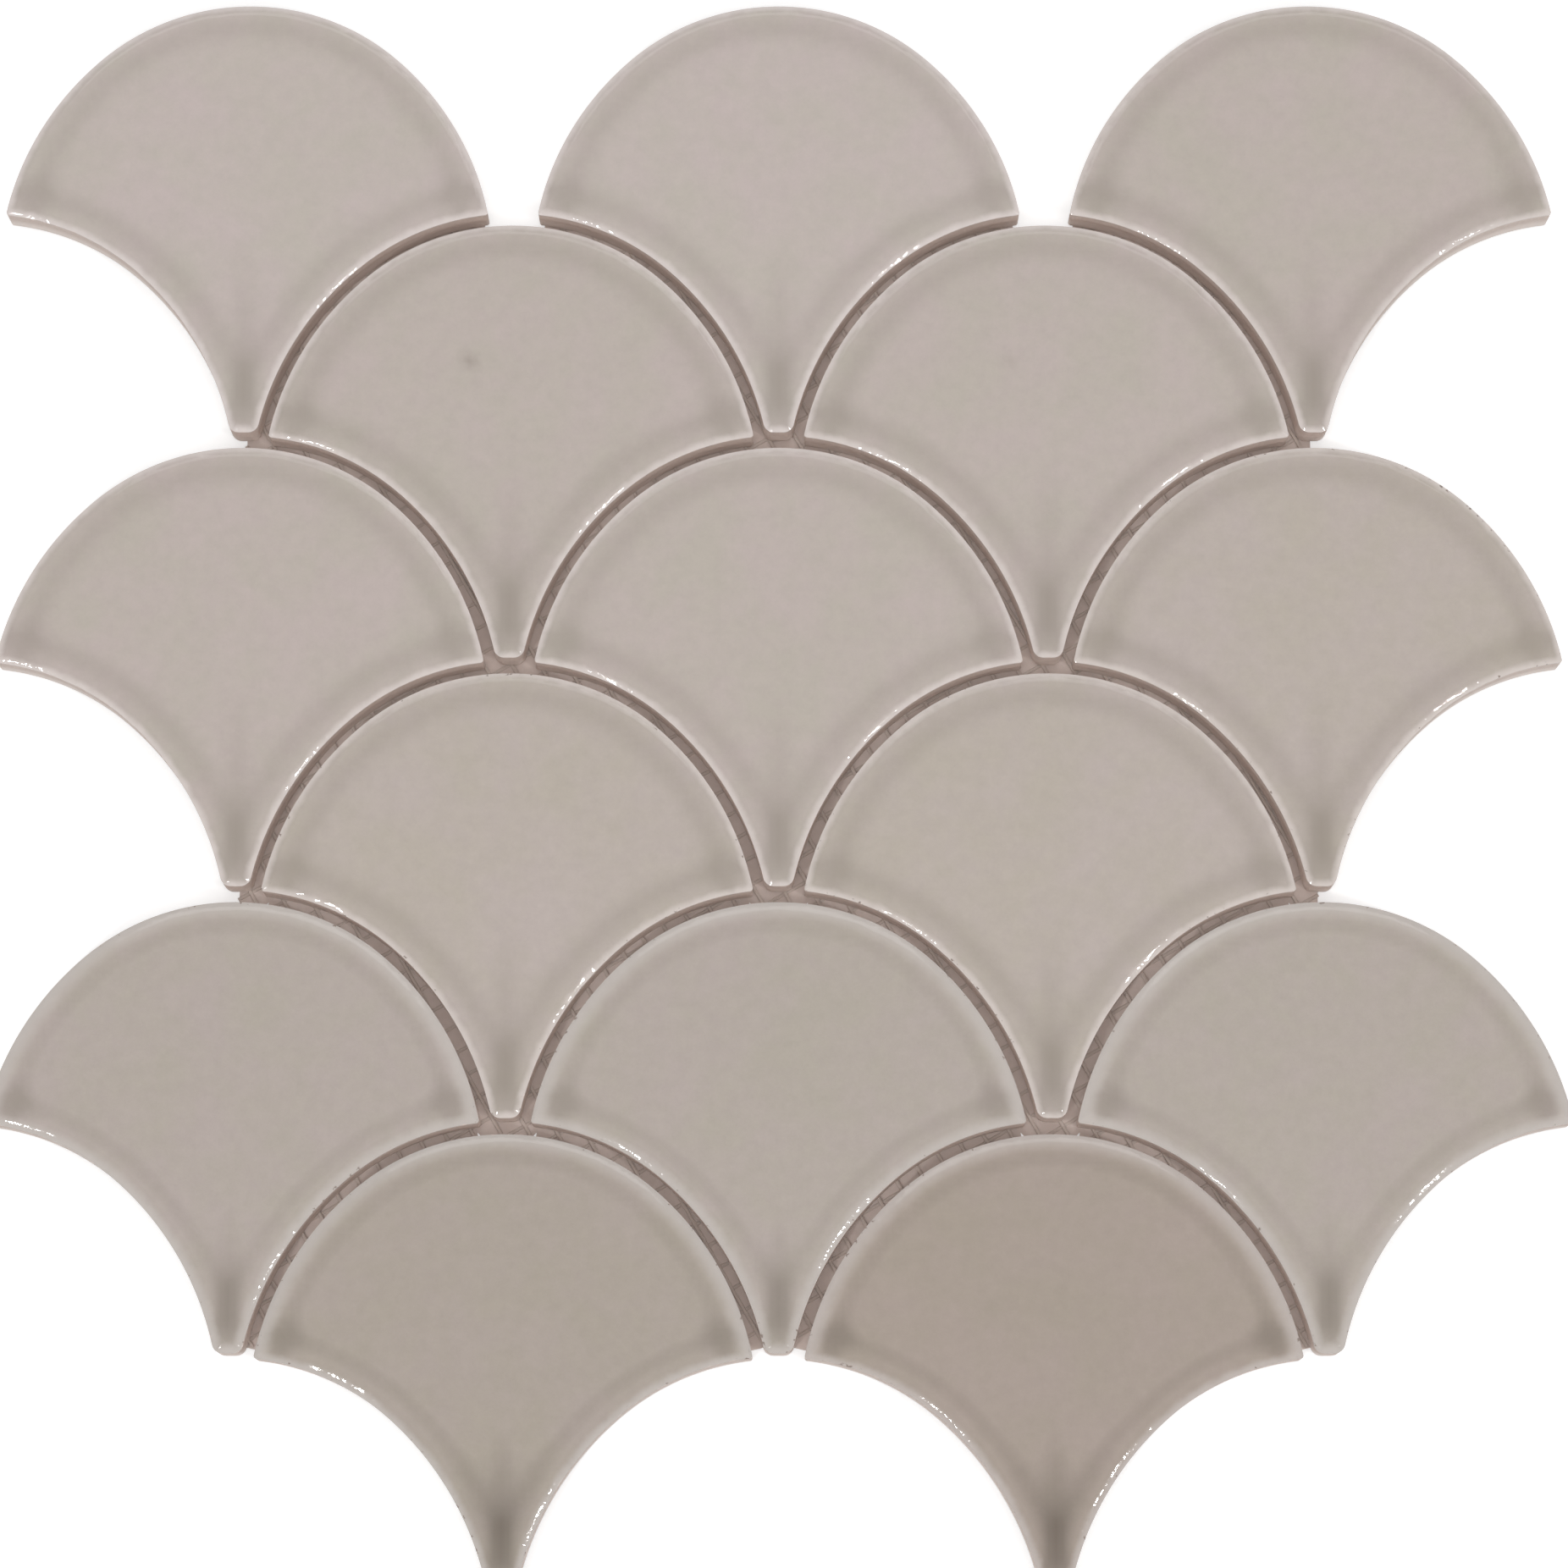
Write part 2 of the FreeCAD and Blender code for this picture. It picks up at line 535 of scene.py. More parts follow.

        # The foot of the wall is painted paler, as painted light that lifts the deep shade at the bottom
        # of the joints
        above_foot = add_node(
            tree, "ShaderNodeMapRange",
            {"From Min": self.foot_height / 2 * MM, "From Max": self.foot_height * MM},
            {"Value": height},
        ).outputs["Result"]
        body = add_node(
            tree, "ShaderNodeMix",
            {"data_type": "RGBA", 6: to_linear(self.painted_light_foot)},
            {0: above_foot, 7: body},
        ).outputs[2]
        colour = add_node(
            tree, "ShaderNodeMix", {"data_type": "RGBA"}, {0: glazed, 6: body, 7: glaze},
        ).outputs[2]
        roughness = add_node(
            tree, "ShaderNodeMapRange",
            {"To Min": self.body_roughness, "To Max": self.glaze_roughness},
            {"Value": glazed},
        ).outputs["Result"]
        waviness = add_node(
            tree, "ShaderNodeMapRange",
            {"From Max": self.wave_width, "To Min": 1.0, "To Max": self.face_waviness},
            {"Value": rim},
        ).outputs["Result"]
        bump = add_node(
            tree, "ShaderNodeBump",
            {"Distance": self.wave_height * MM},
            {"Height": ragged, "Strength": waviness},
        ).outputs["Normal"]
        shader = add_node(
            tree, "ShaderNodeBsdfPrincipled",
            {"IOR": self.ior},
            {"Base Color": colour, "Roughness": roughness, "Normal": bump},
        ).outputs[0]
        add_node(tree, "ShaderNodeOutputMaterial", {}, {"Surface": shader})
        return material


@dataclass(frozen=True)
class GrainedFinish:
    """A dull finish with a grain in relief, of one tone in its hollows and another on its crests."""

    name: str
    hollow: str
    crest: str
    roughness: float
    grain: float
    detail: float
    relief: float
    relief_strength: float
    ior: float = 1.48

    def build(self) -> bpy.types.Material:
        """Make the material.

        Returns:
            The finished material.
        """
        material = start_material(self.name)
        tree = material.node_tree
        place = add_node(tree, "ShaderNodeTexCoord").outputs["Object"]
        grain = add_node(
            tree, "ShaderNodeTexNoise",
            {"Scale": per_metre(self.grain), "Detail": self.detail},
            {"Vector": place},
        ).outputs["Fac"]
        colour = add_node(
            tree, "ShaderNodeMix",
            {"data_type": "RGBA", 6: to_linear(self.hollow), 7: to_linear(self.crest)},
            {0: grain},
        ).outputs[2]
        bump = add_node(
            tree, "ShaderNodeBump",
            {"Strength": self.relief_strength, "Distance": self.relief * MM},
            {"Height": grain},
        ).outputs["Normal"]
        shader = add_node(
            tree, "ShaderNodeBsdfPrincipled",
            {"IOR": self.ior, "Roughness": self.roughness},
            {"Base Color": colour, "Normal": bump},
        ).outputs[0]
        add_node(tree, "ShaderNodeOutputMaterial", {}, {"Surface": shader})
        return material


@dataclass(frozen=True)
class CoatedFibreglass(GrainedFinish):
    """Glass yarn in a latex coat: greyish and slightly rosy, with a dull sheen.

    The glass filaments are too fine to show, so the grain is drawn as coarse as a bundle of them.
    """

    name: str = "coated_fibreglass"
    hollow: str = "#C1B3AA"
    crest: str = "#D0C3BB"
    roughness: float = 0.5
    grain: float = 0.25
    detail: float = 2.0
    relief: float = 0.05
    relief_strength: float = 0.5


@dataclass(frozen=True)
class LatexGlue(GrainedFinish):
    """Milky latex glue, dried to a thin rosy film that is dull, slightly lumpy and dusty on the lumps."""

    name: str = "dried_latex_glue"
    hollow: str = "#E0D2CB"
    crest: str = "#D2C3BB"
    roughness: float = 0.6
    grain: float = 1.5
    detail: float = 3.0
    relief: float = 0.1
    relief_strength: float = 0.6


@dataclass(frozen=True)
class PaintedFloor:
    """Matt white studio floor, lifted to plain white for the eye and for reflections.

    Far from the lamps, from one distance in metres to another, the lift grows.
    """

    paint: str = "#DEDEDE"
    lift: float = 0.42
    far_lift: float = 0.6
    far_from: float = 0.5
    far_to: float = 2.0

    def build(self) -> bpy.types.Material:
        """Make the material.

        Returns:
            The finished material.
        """
        material = start_material("matt_white_floor_paint")
        tree = material.node_tree
        place = add_node(tree, "ShaderNodeTexCoord").outputs["Object"]
        distance = add_node(
            tree, "ShaderNodeVectorMath", {"operation": "LENGTH"}, {0: place},
        ).outputs["Value"]
        amount = add_node(
            tree, "ShaderNodeMapRange",
            {"From Min": self.far_from, "From Max": self.far_to,
             "To Min": self.lift, "To Max": self.far_lift},
            {"Value": distance},
        ).outputs["Result"]
        lift = add_node(
            tree, "ShaderNodeMath", {"operation": "MULTIPLY"}, {0: seen_rays(tree), 1: amount},
        ).outputs[0]
        paint = add_node(
            tree, "ShaderNodeBsdfDiffuse", {"Color": to_linear(self.paint)},
        ).outputs[0]
        glow = add_node(
            tree, "ShaderNodeEmission", {"Color": WHITE}, {"Strength": lift},
        ).outputs[0]
        both = add_node(tree, "ShaderNodeAddShader", {}, {0: paint, 1: glow}).outputs[0]
        add_node(tree, "ShaderNodeOutputMaterial", {}, {"Surface": both})
        return material


@dataclass(frozen=True)
class Turn:
    """One arc of an outline: the drawn point turns about a centre, clockwise if positive."""

    centre: Vector
    angle: float
    steps: int

    def draw(self, side: int = 1, height: float = 0.0) -> None:
        """Turn the selected points about the centre in edit mode.

        Args:
            side: 1 as it is, -1 mirrored across the tile's centre line.
            height: height of the points.
        """
        centre = (side * self.centre.x * MM, self.centre.y * MM, height * MM)
        bpy.ops.mesh.spin(steps=self.steps, angle=side * self.angle, center=centre, axis=(0, 0, 1))


@dataclass
class ScaleTile:
    """A fan-shaped tile: arched crown, two pointed arms, hollow sides and a narrow tail.

    The master is modelled once, as a right half that is mirrored, with its crown at the
    origin and its back on the ground. Every tile of the sheet is a copy of it.
    """

    pitch: float = 90.8
    row_pitch: float = 39.0
    side_joint: float = 2.1
    length: float = 75.3
    crown_half_angle: float = 40.8
    crown_radius: float = 38.2
    flank_radius: float = 49.5
    tip_radius: float = 0.5
    tail_radius: float = 1.8
    least_radius: float = 0.01
    arc_steps: tuple[int, ...] = (30, 40, 6, 26, 44, 6)
    thickness: float = 7.0
    rim_width: float = 1.8
    rim_drop: float = 0.7
    rim_start: float = 40.0
    rim_steps: int = 6
    back_arris: float = 0.35
    face_grid: float = 1.2
    merge_gap: float = 0.004
    smooth_angle: float = 38.0
    pool_depth: float = 4.1
    pool_spread: float = 2.0
    pool_share: float = 0.28
    pool_crossing: float = 1.2
    crowd_depth: float = 4.6
    crowd_spread: float = 3.2
    crowd_share: float = 0.22
    streak_width: float = 2.3
    streak_top: float = 34.0
    streak_fade: float = 24.0
    streak_end: float = 1.0
    streak_end_fade: float = 4.0
    streak_share: float = 0.42
    glazed_share: float = 0.95
    ripple: float = 0.16
    ripple_size: float = 3.2
    ripple_inset: float = 0.8
    ripple_spread: float = 0.7
    swell: float = 0.12
    swell_size: float = 16.0
    swell_inset: float = 1.0
    swell_fade: float = 4.0
    least_weight: float = 0.01

    def centres(self) -> tuple[Vector, Vector, Vector, Vector]:
        """Centres of the arcs on the right half.

        Returns:
            Centres of the crown, the flank, the hollow under the arm and the hollow by the tail.
        """
        lean = math.radians(self.crown_half_angle)
        widening = self.flank_radius - self.crown_radius
        to_neighbour = Vector((self.pitch / 2, -self.row_pitch))
        crown = Vector((0, -self.crown_radius))
        flank = crown - Vector((math.sin(lean), math.cos(lean))) * widening
        arm_hollow = crown + to_neighbour
        tail_hollow = Vector((-flank.x, flank.y)) + to_neighbour
        return crown, flank, arm_hollow, tail_hollow

    def half_outline(self, inset: float) -> tuple[list[Turn], float]:
        """Arcs of the right half, moved inwards, from the top of the crown to the tail.

        Args:
            inset: distance inwards from the outline.

        Returns:
            The arcs in order, and how far the tail's end still runs to the centre line.
        """
        lean = math.radians(self.crown_half_angle)
        crown, flank, arm_hollow, tail_hollow = self.centres()
        tip_radius = max(self.tip_radius - inset, self.least_radius)
        flank_reach = self.flank_radius - inset - tip_radius
        hollow_reach = self.crown_radius + self.side_joint + inset + tip_radius
        tip = circles_meet(flank, flank_reach, arm_hollow, hollow_reach)

        tail_radius = max(self.tail_radius - inset, self.least_radius)
        tail_reach = self.flank_radius + self.side_joint + inset + tail_radius
        tail_y = -self.length + inset + tail_radius
        tail_x = tail_hollow.x - math.sqrt(tail_reach ** 2 - (tail_y - tail_hollow.y) ** 2)
        tail = Vector((tail_x, tail_y))

        up = math.pi / 2
        flank_end = bearing(flank, tip)
        hollow_start = bearing(arm_hollow, tip)
        tail_start = bearing(tail_hollow, tail)
        arcs = (
            (crown, lean),
            (flank, up - lean - flank_end),
            (tip, (flank_end - bearing(tip, arm_hollow)) % math.tau),
            (arm_hollow, hollow_start - (up + lean)),
            (tail_hollow, (up + lean) - tail_start % math.tau),
            (tail, (bearing(tail, tail_hollow) + up) % math.tau),
        )
        turns = [Turn(*arc, steps) for arc, steps in zip(arcs, self.arc_steps)]
        return turns, tail_x

    def draw_half_ring(self, inset: float, height: float) -> None:
        """Draw one half ring in edit mode by turning a point round the outline's centres.

        Args:
            inset: distance inwards from the outline.
            height: height of the ring above the tile's back.
        """
        turns, run_out = self.half_outline(inset)
        drop_point(0, -inset, height)
        for turn in turns:
            turn.draw(height=height)
        bpy.ops.mesh.extrude_region_move(TRANSFORM_OT_translate={"value": (-run_out * MM, 0, 0)})

    def ring_sizes(self) -> list[tuple[float, float]]:
        """Inset and height of each ring, from the back over the wall and the rim to the face.

        Returns:
            Pairs of inset and height.
        """
        shoulder = self.thickness - self.rim_drop
        rings = [(self.back_arris, 0.0), (0.0, self.back_arris), (0.0, shoulder)]
        start = math.radians(self.rim_start)
        for step in range(1, self.rim_steps + 1):
            lean = start + (math.pi / 2 - start) * step / self.rim_steps
            inward = 1 - math.cos(lean) / math.cos(start)
            upward = (math.sin(lean) - math.sin(start)) / (1 - math.sin(start))
            rings.append((self.rim_width * inward, shoulder + self.rim_drop * upward))
        return rings

    def build_master(self) -> bpy.types.Object:
        """Model the tile with its crown at the origin.

        Returns:
            The master tile.
        """
        master = open_blank("scale_tile_master")
        rings = self.ring_sizes()
        for inset, height in rings:
            self.draw_half_ring(inset, height)
        heights = [height * MM for _, height in rings]
        for low, high in zip(heights, heights[1:]):
            select_where(master, "EDGE", lambda edge: lies_at(edge, low) or lies_at(edge, high))
            bpy.ops.mesh.bridge_edge_loops()
        for level in (heights[0], heights[-1]):
            select_where(master, "EDGE", lambda edge: lies_at(edge, level))
            bpy.ops.mesh.edge_face_add()
        self.grid_face(master, heights[-1])
        bpy.ops.mesh.select_all(action="SELECT")
        bpy.ops.mesh.remove_doubles(threshold=self.merge_gap * MM)
        bpy.ops.object.mode_set(mode="OBJECT")
        apply_modifier(master, "MIRROR", merge_threshold=self.merge_gap * MM)
        bpy.ops.object.mode_set(mode="EDIT")
        turn_outwards()
        bpy.ops.object.mode_set(mode="OBJECT")
        self.paint_depths(master)
        return master

    def grid_face(self, master: bpy.types.Object, level: float) -> None:
        """Cut the flat face into a fine grid, so that it can swell and carry the glaze's depth.

        Args:
            master: tile in edit mode.
            level: height of the face in metres.
        """
        columns = range(1, int(self.pitch / 2 / self.face_grid) + 1)
        rows = range(1, int(self.length / self.face_grid) + 1)
        cuts = [((column * self.face_grid * MM, 0, 0), (1, 0, 0)) for column in columns]
        cuts += [((0, -row * self.face_grid * MM, 0), (0, 1, 0)) for row in rows]
        for point, normal in cuts:
            select_where(master, "FACE", lambda face: lies_at(face, level))
            bpy.ops.mesh.bisect(plane_co=point, plane_no=normal)

    def edge_distances(self, x: np.ndarray, y: np.ndarray) -> tuple[np.ndarray, np.ndarray, np.ndarray]:
        """Distances of points inwards from the arch and from the two hollow sides.

        Args:
            x: places across the tile.
            y: places along the tile, from the crown down.

        Returns:
            Distances from the arch, the left hollow and the right hollow.
        """
        lean = math.radians(self.crown_half_angle)
        crown, flank, arm_hollow, tail_hollow = self.centres()

        def apart(cx: float, cy: float, px: np.ndarray) -> np.ndarray:
            """Distance of the points from a centre."""
            return np.hypot(px - cx, y - cy)

        def hollow(px: np.ndarray) -> np.ndarray:
            """Distance from the right hollow of points whose left and right may be swapped."""
            under_arm = np.arctan2(arm_hollow.x - px, y - arm_hollow.y) <= lean
            arm = apart(arm_hollow.x, arm_hollow.y, px) - self.crown_radius - self.side_joint
            tail = apart(tail_hollow.x, tail_hollow.y, px) - self.flank_radius - self.side_joint
            return np.where(under_arm, arm, tail)

        side = np.abs(x)
        in_crown = np.arctan2(side, y - crown.y) <= lean
        arch = np.where(
            in_crown,
            self.crown_radius - apart(crown.x, crown.y, side),
            self.flank_radius - apart(flank.x, flank.y, side),
        )
        return arch, hollow(-x), hollow(x)

    def paint_depths(self, master: bpy.types.Object) -> None:
        """Store on the vertices how far the arch and the hollows are and how deep the glaze pooled.

        Args:
            master: finished master tile.
        """
        mesh = master.data
        points = vertex_places(mesh)
        arch, left, right = self.edge_distances(points[:, 0], points[:, 1])
        tail_end = points[:, 1] + self.length
        hollow = np.minimum(np.minimum(left, right), tail_end)

        def bank(distance: np.ndarray, depth: float, spread: float) -> np.ndarray:
            """Glaze banked up at a depth behind one side of the rim."""
            return np.exp(-((distance - depth) / spread) ** 2)

        edges = sum(bank(side, self.pool_depth, self.pool_spread) for side in (arch, left, right))
        crowds = [bank(side, self.crowd_depth, self.crowd_spread) for side in (arch, left, right)]
        arms = crowds[0] * np.maximum(crowds[1], crowds[2])
        fall = np.clip((self.streak_top - tail_end) / self.streak_fade, 0, 1)
        fall = fall * np.clip((tail_end - self.streak_end) / self.streak_end_fade, 0, 1)
        streak = np.exp(-(points[:, 0] / self.streak_width) ** 2) * fall
        pool = self.pool_share * np.minimum(edges, self.pool_crossing)
        pool = np.clip(pool + self.crowd_share * arms + self.streak_share * streak, 0, 1)
        for name, values in (("arch_mm", arch), ("hollow_mm", hollow), ("glaze_pool", pool)):
            layer = mesh.attributes.new(name, "FLOAT", "POINT")
            layer.data.foreach_set("value", values.astype(np.float32))

    def place_copy(
        self,
        master: bpy.types.Object,
        node: str,
        ripple: bpy.types.Texture,
        swell: bpy.types.Texture,
    ) -> bpy.types.Object:
        """Copy the master to the place of a node and let its glaze ripple in its own way.

        Args:
            master: finished master tile.
            node: name of the node that the copy replaces.
            ripple: texture of the short ripples round the rim.
            swell: texture of the long swells of the face.

        Returns:
            The tile in its place.
        """
        low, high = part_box(node)
        tile = copy_to(master, Vector(((low.x + high.x) / 2, high.y, low.z)))
        tile.name = f"glazed_{node}"
        tile.data.name = tile.name
        self.weigh_glaze(tile)
        if node in SPECKS:
            self.add_speck(tile, SPECKS[node])
        for texture, strength, group in ((ripple, self.ripple, "rim"), (swell, self.swell, "face")):
            apply_modifier(
                tile, "DISPLACE", texture=texture, texture_coords="LOCAL", direction="Z",
                mid_level=1.0, strength=strength * MM, vertex_group=group,
            )
        bpy.ops.object.shade_smooth_by_angle(angle=math.radians(self.smooth_angle))
        return tile

    def add_speck(self, tile: bpy.types.Object, speck: Speck) -> None:
        """Darken the glaze where a grain of ore melted into it or a late pool stood.

        Args:
            tile: tile in its place.
            speck: place and depth of the speck.
        """
        mesh = tile.data
        pool = np.zeros(len(mesh.vertices), np.float32)
        mesh.attributes["glaze_pool"].data.foreach_get("value", pool)
        points = vertex_places(mesh)
        x = points[:, 0] - points[:, 0].mean() - speck.across
        y = points[:, 1] - points[:, 1].max() + speck.below_crown
        pool += speck.depth * np.exp(-(x ** 2 + y ** 2) / speck.radius ** 2)
        mesh.attributes["glaze_pool"].data.foreach_set("value", pool)

    def weigh_glaze(self, tile: bpy.types.Object) -> None:
        """Give the rim and the face vertex weights that let the glaze ripple and swell.

        Args:
            tile: tile in its place.
        """
        mesh = tile.data
        sides = np.zeros((2, len(mesh.vertices)), np.float32)
        for side, name in zip(sides, ("arch_mm", "hollow_mm")):
            mesh.attributes[name].data.foreach_get("value", side)
        rim = sides.min(axis=0)
        height = vertex_places(mesh)[:, 2]
        above = height > height.max() - self.rim_drop * self.glazed_share
        on_rim = np.exp(-((rim - self.ripple_inset) / self.ripple_spread) ** 2) * above
        on_face = np.clip((rim - self.swell_inset) / self.swell_fade, 0, 1) * above
        for name, weights in (("rim", on_rim), ("face", on_face)):
            group = tile.vertex_groups.new(name=name)
            for index in np.nonzero(weights > self.least_weight)[0]:
                group.add([int(index)], float(weights[index]), "REPLACE")


@dataclass
class TileField:
    """The fifteen glazed tiles of the sheet."""

    slot: str = "taupe_glazed_ceramic"

    def build(self) -> list[bpy.types.Object]:
        """Model the master tile and set a copy of it at each node.

        Returns:
            The tiles, in the order of the tile tones.
        """
        form = ScaleTile()
        master = form.build_master()
        ripple = bpy.data.textures.new("glaze_ripple", "CLOUDS")
        ripple.noise_scale = form.ripple_size * MM
        swell = bpy.data.textures.new("glaze_swell", "CLOUDS")
        swell.noise_scale = form.swell_size * MM
        tiles = [form.place_copy(master, node, ripple, swell) for node in TILE_TONES]
        bpy.data.objects.remove(master)
        return tiles

    def dress(self, tiles: list[bpy.types.Object]) -> None:
        """Glaze the tiles and set them in the frame.

        Args:
            tiles: the tiles, in the order of the tile tones.
        """
        glazes = {shade: GlazedStoneware(shade).build() for shade in TileTone}
        for tile, (node, shade) in zip(tiles, TILE_TONES.items()):
            tile.data.materials.append(glazes[shade])
            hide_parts(node)
            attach(tile, BODY)
            LOG.info("%s: %s glaze, %d faces", tile.name, shade.value, len(tile.data.polygons))


@dataclass
class BackingNet:
    """Coated yarn net under the tiles, in two crossing layers."""

    slot: str = "fibreglass_net"
    rounding: float = 0.11
    shortest_side: float = 2.0
    merge_gap: float = 0.002
    smooth_angle: float = 50.0

    def build(self, layer: NetLayer) -> bpy.types.Object:
        """Round the strands of one layer into yarn.

        Args:
            layer: which layer to make.

        Returns:
            The strands of the layer.
        """
        deselect_all()
        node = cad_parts[layer.value]
        net = bpy.data.objects.new(f"yarn_{layer.value}", node.data.copy())
        bpy.context.scene.collection.objects.link(net)
        make_active(net)
        bpy.ops.object.mode_set(mode="EDIT")
        bpy.ops.mesh.select_all(action="SELECT")
        bpy.ops.mesh.remove_doubles(threshold=self.merge_gap * MM)
        bpy.ops.mesh.tris_convert_to_quads()
        select_where(net, "EDGE", lambda edge: edge.calc_length() > self.shortest_side * MM)
        bpy.ops.mesh.bevel(offset=self.rounding * MM, segments=2, affect="EDGES")
        turn_outwards()
        bpy.ops.object.mode_set(mode="OBJECT")
        bpy.ops.object.shade_smooth_by_angle(angle=math.radians(self.smooth_angle))
        return net

    def dress(self, net: bpy.types.Object, layer: NetLayer, coat: bpy.types.Material) -> None:
        """Coat the yarn and set the layer in the frame.

        Args:
            net: the strands of the layer.
            layer: which layer they are.
            coat: material of the yarn.
        """
        net.data.materials.clear()
        net.data.materials.append(coat)
        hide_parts(layer.value)
        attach(net, BODY)
        LOG.info("%s: %d faces", net.name, len(net.data.polygons))


@dataclass
class GlueSeams:
    """Thin film of glue that closes the net's holes along the joints between the tiles.

    A seam follows one hollow side of a tile, from the tip of the arm to the end of the tail,
    and laps under the tiles on both sides. The seams of odd and even rows lie at two levels,
    so that none meets another in one plane.
    """

    form: ScaleTile
    slot: str = "fibreglass_net"
    lap: float = 0.9
    film: float = 0.06
    levels: tuple[float, float] = (0.1, 0.14)
    same_place: float = 1.0

    def draw_edge(self, side: int, inset: float, round_tail: bool) -> None:
        """Draw one long edge of a seam in edit mode.

        Args:
            side: 1 for the right hollow of the tile, -1 for the left one.
            inset: distance inwards from the tile's outline.
            round_tail: whether the edge goes on round the end of the tail.
        """
        (_, _, tip, under_arm, by_tail, tail_corner), run_out = self.form.half_outline(inset)
        hub = under_arm.centre
        reach = self.form.crown_radius + self.form.side_joint + inset
        start = hub + (tip.centre - hub).normalized() * reach
        drop_point(side * start.x, start.y, 0)
        under_arm.draw(side)
        by_tail.draw(side)
        if round_tail:
            tail_corner.draw(side)
            out = (-side * run_out * MM, 0, 0)
            bpy.ops.mesh.extrude_region_move(TRANSFORM_OT_translate={"value": out})

    def build_master(self, side: int, round_tail: bool) -> bpy.types.Object:
        """Model one seam beside a tile whose crown is at the origin, with its upper side there.

        Args:
            side: 1 for the right hollow of the tile, -1 for the left one.
            round_tail: whether the seam goes on round the end of the tail.

        Returns:
            The seam.
        """
        seam = open_blank("glue_seam_master")
        beyond = max(self.form.side_joint, 2 * self.form.row_pitch - self.form.length) + self.lap
        for inset in (self.lap, -beyond):
            self.draw_edge(side, inset, round_tail)
        bpy.ops.mesh.select_mode(type="EDGE")
        bpy.ops.mesh.select_all(action="SELECT")
        bpy.ops.mesh.bridge_edge_loops()
        bpy.ops.mesh.select_all(action="SELECT")
        bpy.ops.mesh.extrude_region_move(TRANSFORM_OT_translate={"value": (0, 0, -self.film * MM)})
        turn_outwards()
        bpy.ops.object.mode_set(mode="OBJECT")
        return seam

    def build(self) -> bpy.types.Object:
        """Lay a seam along every joint of the sheet.

        Returns:
            The seams, as one piece.
        """
        crowns = []
        for node in TILE_TONES:
            low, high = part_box(node)
            crowns.append(Vector(((low.x + high.x) / 2, high.y)) / MM)

        def taken(place: Vector) -> bool:
            """Whether a tile has its crown at a place."""
            return any((crown - place).length < self.same_place for crown in crowns)

        sides = (1, -1)
        masters = {(side, tail): self.build_master(side, tail) for side in sides for tail in (True, False)}
        seams = []
        for crown in crowns:
            row = round((crowns[0].y - crown.y) / self.form.row_pitch)
            round_tail = taken(crown - Vector((0, 2 * self.form.row_pitch)))
            for side in sides:
                if not taken(crown + Vector((side * self.form.pitch / 2, -self.form.row_pitch))):
                    continue
                place = Vector((*crown, self.levels[row % 2])) * MM
                seams.append(copy_to(masters[side, round_tail], place))
        for master in masters.values():
            bpy.data.objects.remove(master)
        deselect_all()
        for seam in seams:
            seam.select_set(True)
        bpy.context.view_layer.objects.active = seams[0]
        bpy.ops.object.join()
        joined = bpy.context.object
        joined.name = "glue_seams"
        joined.data.name = joined.name
        return joined

    def dress(self, seams: bpy.types.Object) -> None:
        """Give the seams their glue and set them in the frame.

        Args:
            seams: the seams, as one piece.
        """
        seams.data.materials.append(LatexGlue().build())
        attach(seams, BODY)
        LOG.info("%s: %d faces", seams.name, len(seams.data.polygons))


@dataclass(frozen=True)
class SoftLamp:
    """A rectangular lamp, aimed at the middle of the sheet. Distance and size are metres."""

    name: str
    azimuth: float
    elevation: float
    distance: float
    size: tuple[float, float]
    watts: float
    glint: bool = True

    def build(self) -> None:
        """Hang the lamp, which leaves no highlight on the glaze if it has no glint."""
        swing = math.radians(self.azimuth)
        rise = math.radians(self.elevation)
        reach = math.cos(rise)
        ray = Vector((math.sin(swing) * reach, -math.cos(swing) * reach, math.sin(rise)))
        light = bpy.data.lights.new(self.name, "AREA")
        light.shape = "RECTANGLE"
        light.size, light.size_y = self.size
        light.energy = self.watts
        lamp = bpy.data.objects.new(self.name, light)
        bpy.context.scene.collection.objects.link(lamp)
        lamp.visible_glossy = self.glint
        lamp.location = ray * self.distance
        lamp.rotation_mode = "QUATERNION"
        lamp.rotation_quaternion = ray.to_track_quat("Z", "Y")


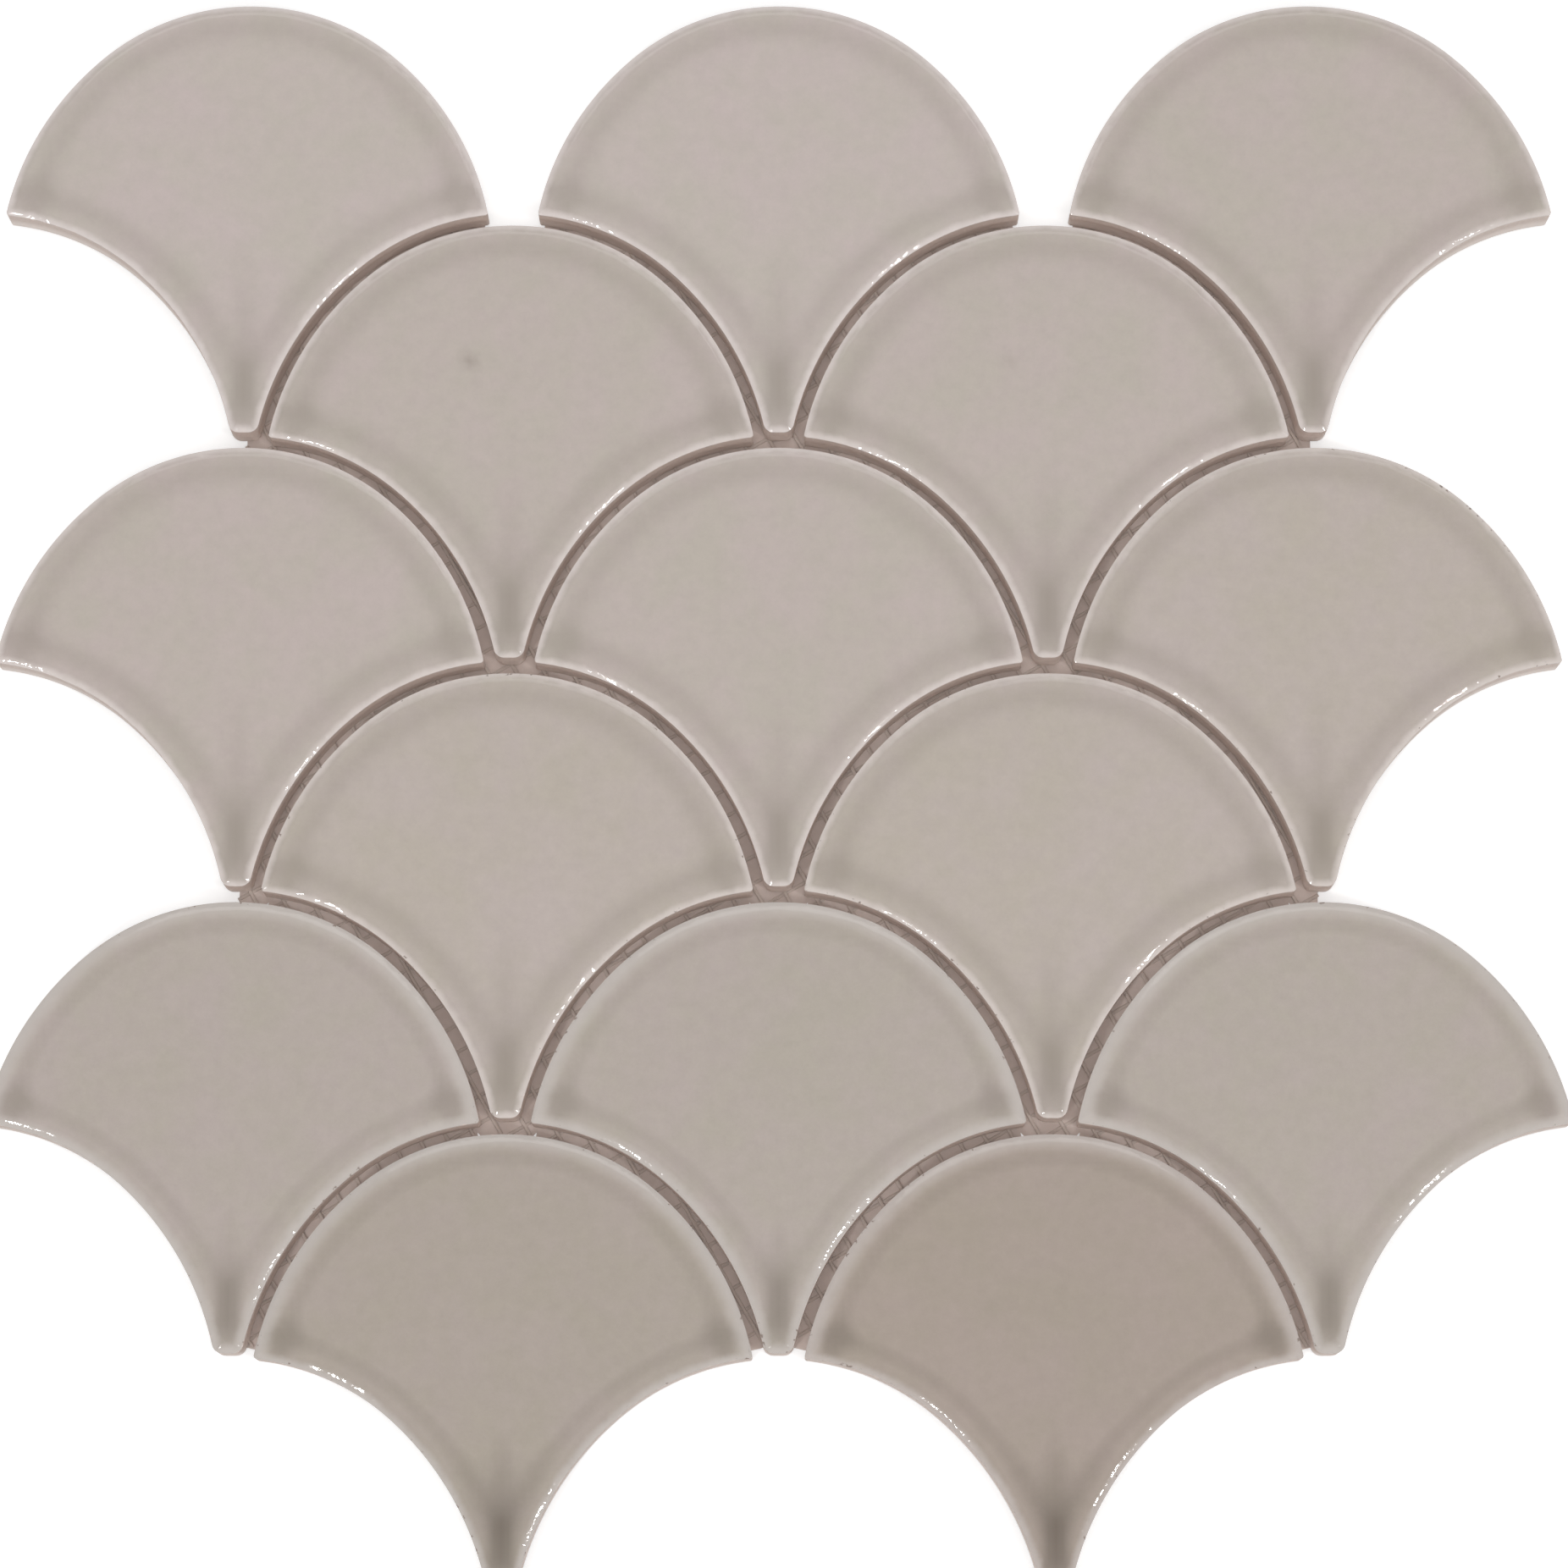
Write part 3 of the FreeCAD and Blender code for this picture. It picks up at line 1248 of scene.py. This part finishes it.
@dataclass
class Studio:
    """White floor, white surroundings that are brightest overhead, soft lamps and the camera.

    The floor's size is in metres.
    """

    floor_size: float = 12.0
    floor_drop: float = 0.02
    horizon: float = 0.1
    zenith: float = 1.08
    backdrop: float = 1.0
    camera_place: tuple[float, float, float] = (0.9, -154.9, 835.8)
    camera_tilt: float = 9.0
    camera_rise: float = 0.0857
    lens: float = 115.4
    lamps: tuple[SoftLamp, ...] = (
        SoftLamp("front_softbox", 0.0, 75.0, 1.3, (1.1, 0.45), 3.4, glint=False),
        SoftLamp("back_softbox", 180.0, 48.0, 1.4, (1.3, 0.5), 2.6),
        SoftLamp("left_strip", -36.0, 45.0, 1.4, (0.035, 0.18), 2.6),
        SoftLamp("right_strip", 58.0, 45.0, 1.4, (0.035, 0.18), 2.6),
    )

    def build(self) -> None:
        """Set up the floor, the light and the camera."""
        self.lay_floor()
        self.light_world()
        for lamp in self.lamps:
            lamp.build()
        self.set_camera()
        bpy.context.scene.view_settings.view_transform = "Standard"

    def lay_floor(self) -> None:
        """Lay the white floor just under the net."""
        deselect_all()
        bpy.ops.mesh.primitive_plane_add(size=self.floor_size, location=(0, 0, -self.floor_drop * MM))
        floor = bpy.context.object
        floor.name = "studio_floor"
        floor.data.materials.append(PaintedFloor().build())

    def light_world(self) -> None:
        """Light the sheet from a white sky, brightest overhead, and show plain white behind it."""
        world = bpy.data.worlds.new("white_surroundings")
        world.use_nodes = True
        bpy.context.scene.world = world
        tree = world.node_tree
        tree.nodes.clear()
        ray = add_node(tree, "ShaderNodeTexCoord").outputs["Generated"]
        rise = add_node(tree, "ShaderNodeSeparateXYZ", {}, {0: ray}).outputs["Z"]
        square = add_node(
            tree, "ShaderNodeMath", {"operation": "MULTIPLY"}, {0: rise, 1: rise},
        ).outputs[0]
        sky = add_node(
            tree, "ShaderNodeMapRange",
            {"To Min": self.horizon, "To Max": self.zenith},
            {"Value": square},
        ).outputs["Result"]
        strength = add_node(
            tree, "ShaderNodeMix",
            {"data_type": "FLOAT", 3: self.backdrop},
            {0: seen_rays(tree), 2: sky},
        ).outputs[0]
        light = add_node(
            tree, "ShaderNodeBackground", {"Color": WHITE}, {"Strength": strength},
        ).outputs[0]
        add_node(tree, "ShaderNodeOutputWorld", {}, {"Surface": light})

    def set_camera(self) -> None:
        """Hang the camera over the lower edge of the sheet, tilted towards its middle."""
        tilt = math.radians(self.camera_tilt)
        back = Vector((0, -math.sin(tilt), math.cos(tilt)))
        data = bpy.data.cameras.new("camera")
        data.lens = self.lens
        data.shift_y = self.camera_rise
        camera = bpy.data.objects.new("camera", data)
        bpy.context.scene.collection.objects.link(camera)
        camera.location = Vector(self.camera_place) * MM
        camera.rotation_mode = "QUATERNION"
        camera.rotation_quaternion = back.to_track_quat("Z", "Y")
        bpy.context.scene.camera = camera


def main() -> None:
    """Build the studio, the tiles and the net, and report each piece."""
    logging.basicConfig(level=logging.INFO, format="%(message)s")
    Studio().build()
    field = TileField()
    field.dress(field.build())
    net = BackingNet()
    coat = CoatedFibreglass().build()
    for layer in NetLayer:
        net.dress(net.build(layer), layer, coat)
    seams = GlueSeams(ScaleTile())
    seams.dress(seams.build())


if __name__ == "__main__":
    main()
